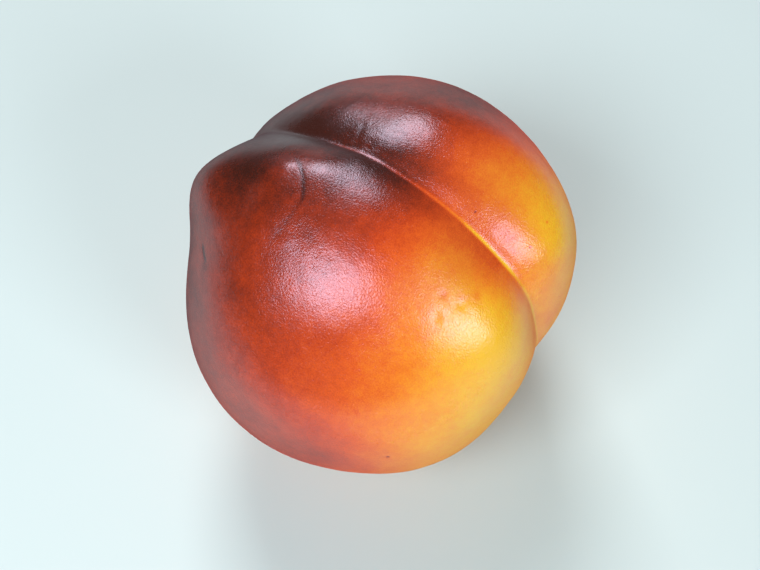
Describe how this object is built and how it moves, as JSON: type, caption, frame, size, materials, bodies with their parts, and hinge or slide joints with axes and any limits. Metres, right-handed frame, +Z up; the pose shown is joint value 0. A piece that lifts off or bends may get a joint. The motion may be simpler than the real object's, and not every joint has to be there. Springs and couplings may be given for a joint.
{
  "type": "nectarine",
  "caption": "Whole smooth-skinned stone fruit lying on its side, two unequal lobes parted by a seam, with a rounded tip and a stem hollow.",
  "frame": {"origin": "middle of the small flat spot that the fruit rests on, at the surface's level", "axes": "+Z up; the fruit's tip points to -X and +Y and about 20 degrees up, and its seam faces up"},
  "size_m": [0.0677, 0.0699, 0.0646],
  "materials": {
    "skin": "satin"
  },
  "bodies": {
    "root": {"nectarine": "skin"}
  },
  "joints": []
}
